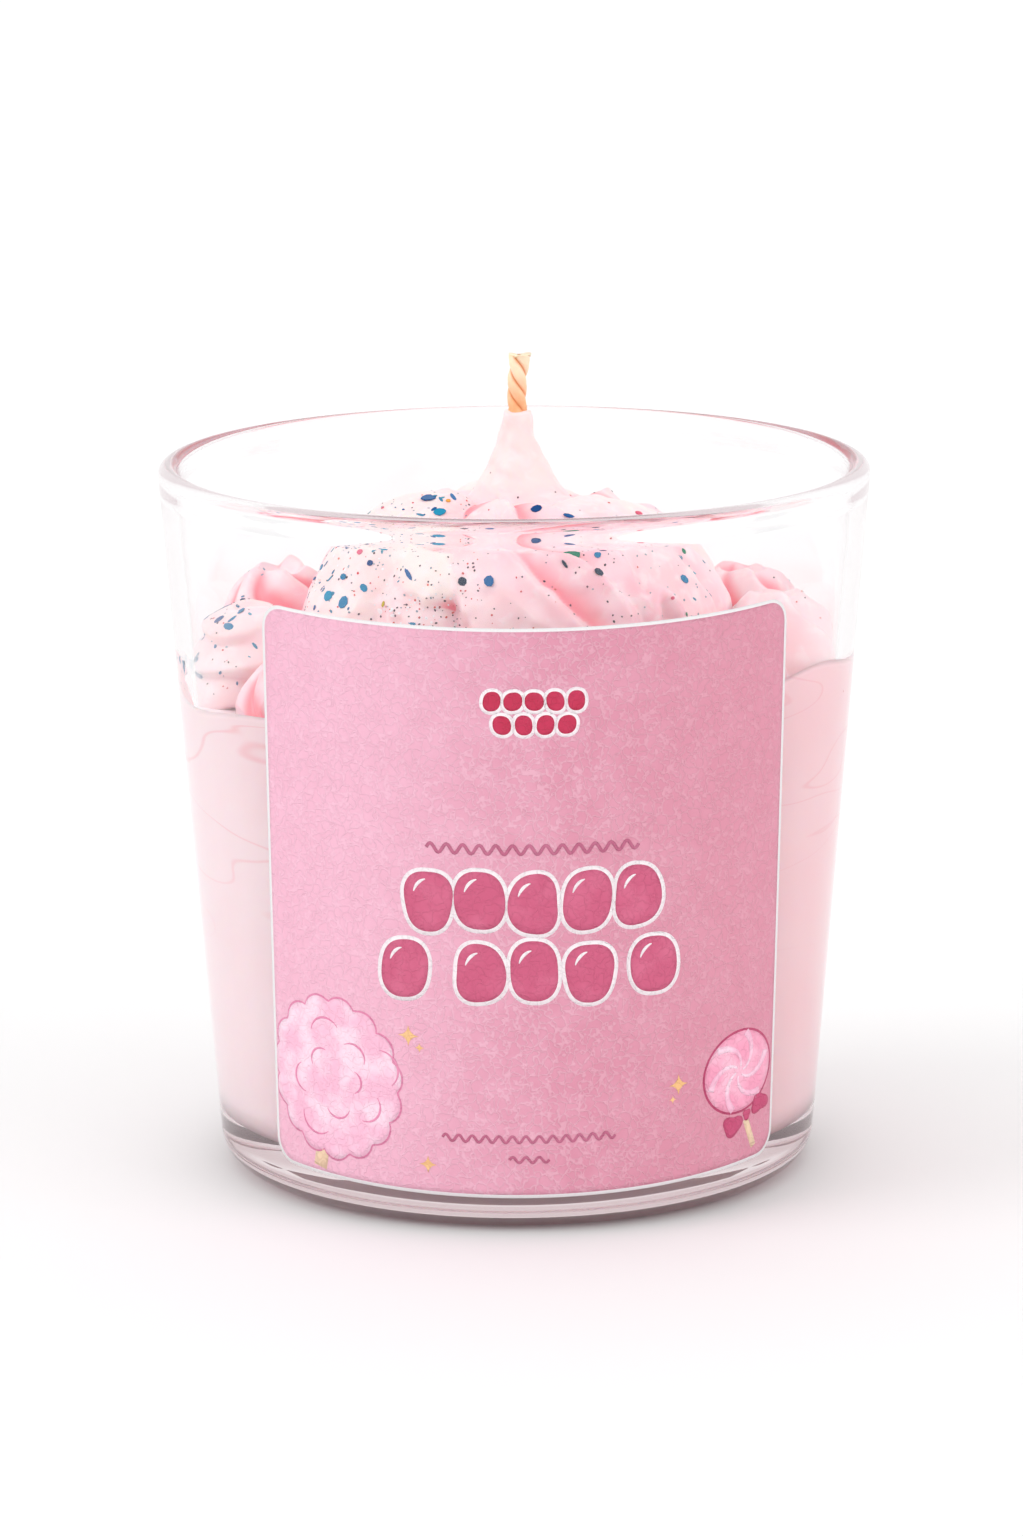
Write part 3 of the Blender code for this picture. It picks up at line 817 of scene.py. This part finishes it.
strewn(
    "dark_specks", 71,
    [(120, (-25, 33), (24, 8)), (70, (18, 31), (40, 10)), (60, (-64, 28), (34, 16)), (90, *WIDE)],
    [(7, 24, 61, 73), (6, 8, 62, 75), (2, 10, 62, 75), (1, 12, 61, 75)],
    (0.12, 0.32), ((0.03, 0.02, 0.03), (0.12, 0.06, 0.09)),
)
strewn(
    "red_specks", 81,
    [(90, (-20, 33), (30, 8)), (50, (-60, 29), (34, 14)), (60, *WIDE)],
    [(7, 14, 61, 73), (2, 10, 62, 75), (1, 10, 61, 75)],
    (0.12, 0.34), ((0.62, 0.06, 0.08), (0.75, 0.20, 0.16)),
)
strewn(
    "grey_specks", 91,
    [(90, (-58, 30), (36, 14)), (50, (50, 30), (36, 12)), (50, *WIDE)],
    [(7, 14, 61, 73)],
    (0.14, 0.36), ((0.25, 0.30, 0.36), (0.45, 0.50, 0.55)),
)

# ------------------------------------------------------------
# Wick. Three strands of waxed cotton twisted together, cut off above the peak, where they open a little.

WICK_RADIUS = 1.2
WICK_PITCH = 7.5
WICK_FOOT = 90.0
FLARE_START = 99.4
BEND_START = 98.0
wick_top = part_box("wick")[1].z / MM
wick_z = np.linspace(wick_top, WICK_FOOT, 170)[:, None]
turn = whole_turn(120)[None, :]
strand = np.abs(np.cos(1.5 * turn)) ** 0.6
flare = 1 + 0.22 * np.clip((wick_z - FLARE_START) / 2.3, 0, 1) ** 1.5
fibres = 0.012 * np.sin(30 * turn) + 0.03 * waves(
    np.stack(np.broadcast_arrays(3 * np.cos(turn), 3 * np.sin(turn), wick_z), axis=-1), 2.2, 9
)
wick_r = WICK_RADIUS * flare * (0.7 + 0.3 * strand + fibres)
wick_turn = turn - 2 * np.pi * wick_z / WICK_PITCH
wick_rings = np.stack(
    [
        LEAN + wick_r * np.cos(wick_turn) + 0.12 * np.clip(wick_z - BEND_START, 0, 4),
        wick_r * np.sin(wick_turn),
        np.broadcast_to(wick_z, wick_r.shape) - 0.5 * (1 - strand) * (wick_z > wick_top - 0.2),
    ],
    axis=-1,
)
# Painted shade: the grooves between the strands are painted a darker brown
groove = np.broadcast_to(1 - strand, wick_r.shape)
WICK_TAN = (0.96, 0.46, 0.21, 1)
WICK_PALE = (1.0, 0.88, 0.64, 1)
WICK_PATCH = (1.0, 0.70, 0.44, 1)
WICK_GROOVE_SHADE = (0.84, 0.28, 0.09, 1)
wick_cotton = new_material(
    "wick_cotton", WICK_TAN[:3], 0.5, Subsurface_Weight=0.15, Subsurface_Scale=0.001
)
tree = wick_cotton.node_tree
places, _, _, height = object_space(tree)
patchy = noise(tree, places, 900.0, 3.0)
tone = mixed(tree, spread(tree, height, 0.0945, 0.1012), WICK_TAN, WICK_PALE)
tone = mixed(tree, spread(tree, patchy, 0.4, 0.7, 0.0, 0.45), tone, WICK_PATCH)
# Painted shade in the grooves between the strands
tone = mixed(tree, spread(tree, attribute(tree, "groove"), 0.2, 0.9, 0.0, 0.9), tone, WICK_GROOVE_SHADE)
feed(wick_cotton, Base_Color=tone, Normal=bump(tree, patchy, 0.4, 0.0001))
wick_shell = shell(wick_rings, [wick_rings[0].mean(axis=0) - (0, 0, 0.25), wick_rings[-1].mean(axis=0)])
make_piece("twisted_wick", [wick_shell], wick_cotton, "wick_cotton", "wick", groove=groove)

# ------------------------------------------------------------
# Label. A rectangle of embossed paper with rounded corners and a white edge, rolled on the glass.

LABEL_WIDTH = 70.0
LABEL_LENGTH = 71.2
LABEL_CORNER = 3.1
LABEL_FOOT = 4.6
LABEL_TURN = math.radians(2.3)
HALF_ANGLE = math.atan2(RIM_RADIUS - FOOT_CONE_RADIUS, GLASS_HEIGHT)


def rolled(across, up, lift):
    """Where a flat sheet's points land when it is rolled on the glass, lifted off it by a distance.

    The conical wall unrolls into a sector about its apex. The sheet's middle line lies along a radius of
    that sector, so a point's distance from the apex gives its height, and its angle there, divided by the
    sine of the cone's half angle, gives its turn round Z.
    """
    to_foot = outer_radius(LABEL_FOOT) / math.sin(HALF_ANGLE)
    along = np.hypot(to_foot + up, across)
    turn = np.arctan2(across, to_foot + up) / math.sin(HALF_ANGLE) + LABEL_TURN
    z = (along - to_foot) * math.cos(HALF_ANGLE) + LABEL_FOOT
    r = outer_radius(z) + lift
    return np.stack([r * np.sin(turn), -r * np.cos(turn), z], axis=-1)


def patch(outline, lift, depth, middle=None):
    """A thin closed patch of print or paper, with its back at lift and its front at lift + depth.

    A star-shaped outline (n, 2) shrinks towards its middle ring by ring, so that it can follow the cone.
    """
    middle = outline.mean(axis=0) if middle is None else np.asarray(middle, float)
    rings = max(3, int(np.linalg.norm(outline - middle, axis=1).max() / 0.9))
    share = np.linspace(0, 1, rings + 1)[1:, None, None]
    flat = middle + share * (outline - middle)
    front = rolled(flat[..., 0], flat[..., 1], lift + depth)
    back = rolled(flat[::-1, :, 0], flat[::-1, :, 1], lift)
    poles = [rolled(*middle, lift + depth), rolled(*middle, lift)]
    return shell(np.concatenate([front, back]), poles)


def stroke(path, width, lift, depth):
    """A printed line: a flat band carried along a path (n, 2), half its width to each side of it."""
    path = np.asarray(path, float)
    along = unit(np.gradient(path, axis=0))
    square = np.stack([-along[:, 1], along[:, 0]], axis=-1)
    offset = np.array([-0.5, 0, 0.5, 0.5, 0, -0.5]) * np.broadcast_to(width, len(path))[:, None]
    lifts = lift + depth * np.array([1, 1, 1, 0, 0, 0])
    flat = path[:, None] + square[:, None] * offset[..., None]
    rings = rolled(flat[..., 0], flat[..., 1], lifts[None, :])
    return shell(rings, [rings[0].mean(axis=0), rings[-1].mean(axis=0)])


def even_steps(outline, spacing):
    """The same closed outline with points about a spacing apart."""
    closed = np.concatenate([outline, outline[:1]])
    along = np.concatenate([[0], np.cumsum(np.linalg.norm(np.diff(closed, axis=0), axis=1))])
    at = np.linspace(0, along[-1], max(16, int(along[-1] / spacing)), endpoint=False)
    return np.stack([np.interp(at, along, closed[:, i]) for i in (0, 1)], axis=-1)


def rounded_box(width, height, corner):
    """Outline of a rectangle with round corners, about its middle: a quarter circle at each corner."""
    quarter = np.linspace(0, np.pi / 2, 24)
    points = []
    for k, (sx, sy) in enumerate(((1, 1), (-1, 1), (-1, -1), (1, -1))):
        angle = quarter + k * np.pi / 2
        centre = np.array([sx * (width / 2 - corner), sy * (height / 2 - corner)])
        points.append(centre + around(angle, corner, corner))
    return np.concatenate(points)


def lobed(middle, width, height, lumps, phase, swell=0.05, square=3.0, grow=0.0):
    """Outline of a soft blob: a superellipse whose radius swells and sinks by a sine, lumps times round."""
    angle = whole_turn(60)
    sides = np.abs(np.cos(angle) / width * 2) ** square + np.abs(np.sin(angle) / height * 2) ** square
    radius = sides ** (-1 / square)
    radius = radius * (1 + swell * np.sin(lumps * angle + phase)) + grow
    return np.asarray(middle) + around(angle, radius, radius)


CURL = (0.0024, 0.0024, 0.0024)


def printed_colour(name, colour, speckle, amount, pale=0.0):
    """A flat print colour, a little mottled, on paper with fine curling ridges pressed into it.

    The ridges are the borders of bent Voronoi cells, and the ink on them is painted paler by the given share,
    a painted highlight along the pressed ridges.
    """
    ink = new_material(name, colour, 0.5)
    tree = ink.node_tree
    places = object_space(tree)[0]
    grain = noise(tree, places, 260.0, 6.0)
    tone = mixed(tree, spread(tree, grain, 0.4, 0.66, 0.0, amount), (*colour, 1), (*speckle, 1))
    bend = noise(tree, places, 800.0, 1.0, output="Color")
    bend = add_node(tree, "ShaderNodeVectorMath", {0: bend, 1: CURL}, operation="MULTIPLY").outputs[0]
    bent = add_node(tree, "ShaderNodeVectorMath", {0: places, 1: bend}, operation="ADD").outputs[0]
    inputs = {"Vector": bent, "Scale": 820.0}
    cells = add_node(tree, "ShaderNodeTexVoronoi", inputs, feature="DISTANCE_TO_EDGE")
    ridge = spread(tree, cells.outputs["Distance"], 0.13, 0.02)
    # Painted highlight: the ink on the pressed ridges is painted paler
    tone = mixed(tree, spread(tree, ridge, 0.0, 1.0, 0.0, pale), tone, (1.0, 0.80, 0.88, 1))
    feed(ink, Base_Color=tone, Normal=bump(tree, ridge, 0.6, 0.00012))
    return ink


PAPER_LIFT = 0.02
PAPER_THICKNESS = 0.1
INK = 0.015
BORDER = 0.42
OUTLINE_STEP = 0.6
FIELD_LIFT = PAPER_LIFT + PAPER_THICKNESS
OUTLINE_LIFT = FIELD_LIFT + INK
SHAPE_LIFT = OUTLINE_LIFT + INK
DETAIL_LIFT = SHAPE_LIFT + INK
label_middle = np.array([0, LABEL_LENGTH / 2])
sheet = even_steps(rounded_box(LABEL_WIDTH, LABEL_LENGTH, LABEL_CORNER), OUTLINE_STEP) + label_middle
label_paper = new_material("label_paper", (0.93, 0.92, 0.92), 0.5)
tree = label_paper.node_tree
pulp = add_node(tree, "ShaderNodeTexNoise", {"Scale": 900.0, "Detail": 3.0}).outputs["Fac"]
pulp_tone = mixed(tree, spread(tree, pulp, 0.4, 0.7), (0.88, 0.86, 0.87, 1), (0.80, 0.77, 0.78, 1))
feed(label_paper, Base_Color=pulp_tone)
paper = [patch(sheet, PAPER_LIFT, PAPER_THICKNESS)]
make_piece("paper_label", paper, label_paper, "label_paper", "label")

# The pink field is painted paler and cooler at the left, painted light from the key lamp's side, and deeper
# at the right, painted shade.
FIELD_LIT_LEFT = (0.95, 0.56, 0.71)
FIELD_SHADED_RIGHT = (0.66, 0.24, 0.325)
pink_field = printed_colour("pink_field", (0.71, 0.28, 0.39), (0.79, 0.37, 0.49), 0.5, 0.18)
tree = pink_field.node_tree
plain = tree.nodes["Principled BSDF"].inputs["Base Color"].links[0].from_socket
across = object_space(tree)[1]
# Painted light at the left and painted shade at the right
tone = mixed(tree, spread(tree, across, 0.008, -0.022, 0.0, 0.6), plain, (*FIELD_LIT_LEFT, 1))
tone = mixed(tree, spread(tree, across, -0.002, 0.030, 0.0, 0.6), tone, (*FIELD_SHADED_RIGHT, 1))
feed(pink_field, Base_Color=tone)
field = rounded_box(LABEL_WIDTH - 2 * BORDER, LABEL_LENGTH - 2 * BORDER, LABEL_CORNER - BORDER)
field = even_steps(field, OUTLINE_STEP) + label_middle
make_piece("print_field", [patch(field, FIELD_LIFT, INK)], pink_field, "label_paper")

# ------------------------------------------------------------
# Label decoration. Plain printed shapes: a crimson pair of bead rows, two rows of puffy rose blobs with
# white edges, wavy rules, a puff and a striped sweet on sticks in the corners, and small gold sparkles.

HALF_FIELD = LABEL_WIDTH / 2 - BORDER - 0.05
crimson_beads, rose_blobs, white_edges, blob_gleams = [], [], [], []
for row_up, row_left, row_right, beads in ((62.3, -4.5, 5.5, 5), (59.4, -3.3, 4.4, 4)):
    for k, bead_across in enumerate(np.linspace(row_left, row_right, beads)):
        bead = dict(width=2.15, height=2.35, lumps=2, phase=1.3 * k + row_up, swell=0.05, square=2.3)
        white_edges.append(patch(lobed((bead_across, row_up), **bead, grow=0.42), OUTLINE_LIFT, INK))
        crimson_beads.append(patch(lobed((bead_across, row_up), **bead), SHAPE_LIFT, INK))
BLOB_WIDTH = 5.9
BLOB_ROWS = (
    # mm up the label, the blobs' places across it, their height
    (37.4, (-12.2, -6.0, 0.4, 6.9, 13.2), 7.5),
    (28.6, (-15.2, -5.9, 0.5, 7.2, 15.3), 7.3),
)
for row_up, row_across, blob_height in BLOB_ROWS:
    for k, blob_across in enumerate(row_across):
        middle = (blob_across, row_up + 0.25 * math.sin(2.3 * k + row_up))
        lumps = 2 + (k + int(row_up)) % 2
        shape = dict(width=BLOB_WIDTH, height=blob_height, lumps=lumps, phase=2.1 * k)
        shape.update(swell=0.045, square=2.5)
        white_edges.append(patch(lobed(middle, **shape, grow=0.5), OUTLINE_LIFT, INK))
        rose_blobs.append(patch(lobed(middle, **shape), SHAPE_LIFT, INK))
        angle = np.linspace(1.75, 2.75, 14)
        gleam = around(angle, 0.33 * BLOB_WIDTH, 0.36 * blob_height)
        taper = np.sin(np.linspace(0.3, np.pi - 0.3, 14))
        blob_gleams.append(stroke(middle + gleam, 0.4 * taper, DETAIL_LIFT, INK))


def wavy_rule(start, end, up, swing, waves_along, width):
    """A rule that swings above and below a level line as a sine."""
    along = np.linspace(0, 1, max(24, waves_along * 12))
    level = start + (end - start) * along
    path = np.stack([level, up + swing * np.sin(2 * np.pi * waves_along * along)], axis=-1)
    return stroke(path, width, SHAPE_LIFT, INK)


rules = [
    wavy_rule(-12.4, 13.2, 44.0, 0.55, 13, 0.42),
    wavy_rule(-10.6, 10.4, 7.5, 0.42, 13, 0.34),
    wavy_rule(-2.5, 2.3, 4.9, 0.36, 3, 0.34),
]


def inside_field(outline):
    """The outline with what passes the field's side edges pressed back onto them."""
    return np.stack([np.clip(outline[:, 0], -HALF_FIELD, HALF_FIELD), outline[:, 1]], axis=-1)


def scalloped(middle, radius, scallops=15, phase=0.4, depth=0.09, tall=1.08):
    """Outline of a puff: a circle, stretched upwards, whose radius rises in round bumps, each half a sine."""
    angle = whole_turn(160)
    bumps = radius * (1 - depth + depth * np.abs(np.sin(scallops * angle / 2 + phase)) ** 0.7)
    return inside_field(np.asarray(middle) + around(angle, bumps, bumps * tall))


PUFF = (-25.3, 12.9)
PUFF_RADIUS = 9.65
SWEET = (28.3, 12.2)
SWEET_RADIUS = 5.5
puff_line = [patch(scalloped(PUFF, PUFF_RADIUS + 0.25), OUTLINE_LIFT, INK, PUFF)]
puff_fill = [patch(scalloped(PUFF, PUFF_RADIUS), SHAPE_LIFT, INK, PUFF)]
puff_ridges = []
for k in range(9):
    angle, far = 2.4 * k, 2.2 + 0.55 * k
    middle = (PUFF[0] + 0.5 + far * math.cos(angle), PUFF[1] + far * math.sin(angle))
    arc_angle = np.linspace(angle - 1.2, angle + 1.2, 20)
    bend = np.array(middle) + around(arc_angle, 1.5 + 0.12 * k, 1.5 + 0.12 * k)
    taper = np.sin(np.linspace(0.25, np.pi - 0.25, 20))
    puff_ridges.append(stroke(inside_field(bend), 0.28 * taper, DETAIL_LIFT, INK))
sticks = [
    stroke([(-27.0, 3.3), (-27.2, 2.0), (-27.4, 0.9)], 2.0, OUTLINE_LIFT, INK),
    stroke([(29.6, 5.6), (30.4, 3.6), (31.2, 1.7)], 0.95, OUTLINE_LIFT, INK),
]
sweet_line = [patch(inside_field(lobed(SWEET, 11.9, 10.9, 2, 0.3, 0.0, 2.0)), OUTLINE_LIFT, INK, SWEET)]
sweet_fill = [patch(inside_field(lobed(SWEET, 11.3, 10.3, 2, 0.3, 0.0, 2.0)), SHAPE_LIFT, INK, SWEET)]
sweet_bands = []
for k in range(6):
    reach = np.linspace(0.6, SWEET_RADIUS - 0.5, 24)
    angle = k * np.pi / 3 + 1.5 * reach / SWEET_RADIUS
    band = np.asarray(SWEET) + around(angle, reach, reach)
    sweet_bands.append(stroke(inside_field(band), 0.15 + 0.9 * reach / SWEET_RADIUS, DETAIL_LIFT, INK))
BOW = (((27.3, 5.3), 3.2, 2.6, 0.6), ((32.2, 7.1), 3.2, 2.4, 2.2), ((29.8, 6.2), 1.3, 1.4, 0.0))
bow = [
    patch(inside_field(lobed(middle, width, height, 3, phase, 0.16, 2.4)), SHAPE_LIFT, INK)
    for middle, width, height, phase in BOW
]


def sparkle(middle, reach):
    """Outline of a four-pointed sparkle: a superellipse of power 0.6."""
    angle = whole_turn(48)
    radius = reach * (np.abs(np.cos(angle)) ** 0.6 + np.abs(np.sin(angle)) ** 0.6) ** (-1 / 0.6)
    return np.asarray(middle) + around(angle, radius, radius)


SPARKLES = (
    ((-14.8, 20.0), 1.3),
    ((-13.4, 18.6), 0.6),
    ((-12.4, 3.8), 1.1),
    ((18.8, 12.6), 1.3),
    ((18.0, 10.8), 0.5),
)
sparkles = [patch(sparkle(middle, reach), SHAPE_LIFT, INK, middle) for middle, reach in SPARKLES]
INKS = (
    # name, colour, the colour that mottles it, the most of that
    ("white_print", (0.95, 0.87, 0.90), (0.93, 0.80, 0.85), 0.5),
    ("rose_print", (0.60, 0.095, 0.20), (0.70, 0.16, 0.28), 0.5),
    ("crimson_print", (0.52, 0.012, 0.065), (0.60, 0.025, 0.10), 0.5),
    ("rule_print", (0.50, 0.12, 0.22), (0.56, 0.17, 0.28), 0.5),
    ("puff_print", (0.94, 0.50, 0.66), (0.97, 0.70, 0.82), 1.0),
    ("puff_pink", (0.80, 0.24, 0.42), (0.86, 0.34, 0.52), 0.5),
    ("sweet_pink", (0.90, 0.34, 0.50), (0.96, 0.50, 0.64), 1.0),
    ("deep_pink", (0.55, 0.055, 0.16), (0.62, 0.10, 0.22), 0.5),
    ("stick_print", (0.87, 0.62, 0.42), (0.94, 0.74, 0.58), 0.8),
    ("gold_print", (0.90, 0.52, 0.22), (0.95, 0.66, 0.36), 0.6),
)
inks = {ink[0]: printed_colour(*ink) for ink in INKS}
for name, shells, ink in (
    ("print_white_edges", white_edges, "white_print"),
    ("print_rose_blobs", rose_blobs, "rose_print"),
    ("print_gleams", blob_gleams, "white_print"),
    ("print_crimson_beads", crimson_beads, "crimson_print"),
    ("print_rules", rules, "rule_print"),
    ("print_puff_line", puff_line, "puff_pink"),
    ("print_sweet_line", sweet_line, "deep_pink"),
    ("print_sweet", sweet_fill, "sweet_pink"),
    ("print_bow", bow, "deep_pink"),
    ("print_puff", puff_fill + sweet_bands, "puff_print"),
    ("print_puff_ridges", puff_ridges, "puff_pink"),
    ("print_sticks", sticks, "stick_print"),
    ("print_sparkles", sparkles, "gold_print"),
):
    make_piece(name, shells, inks[ink], "label_paper")
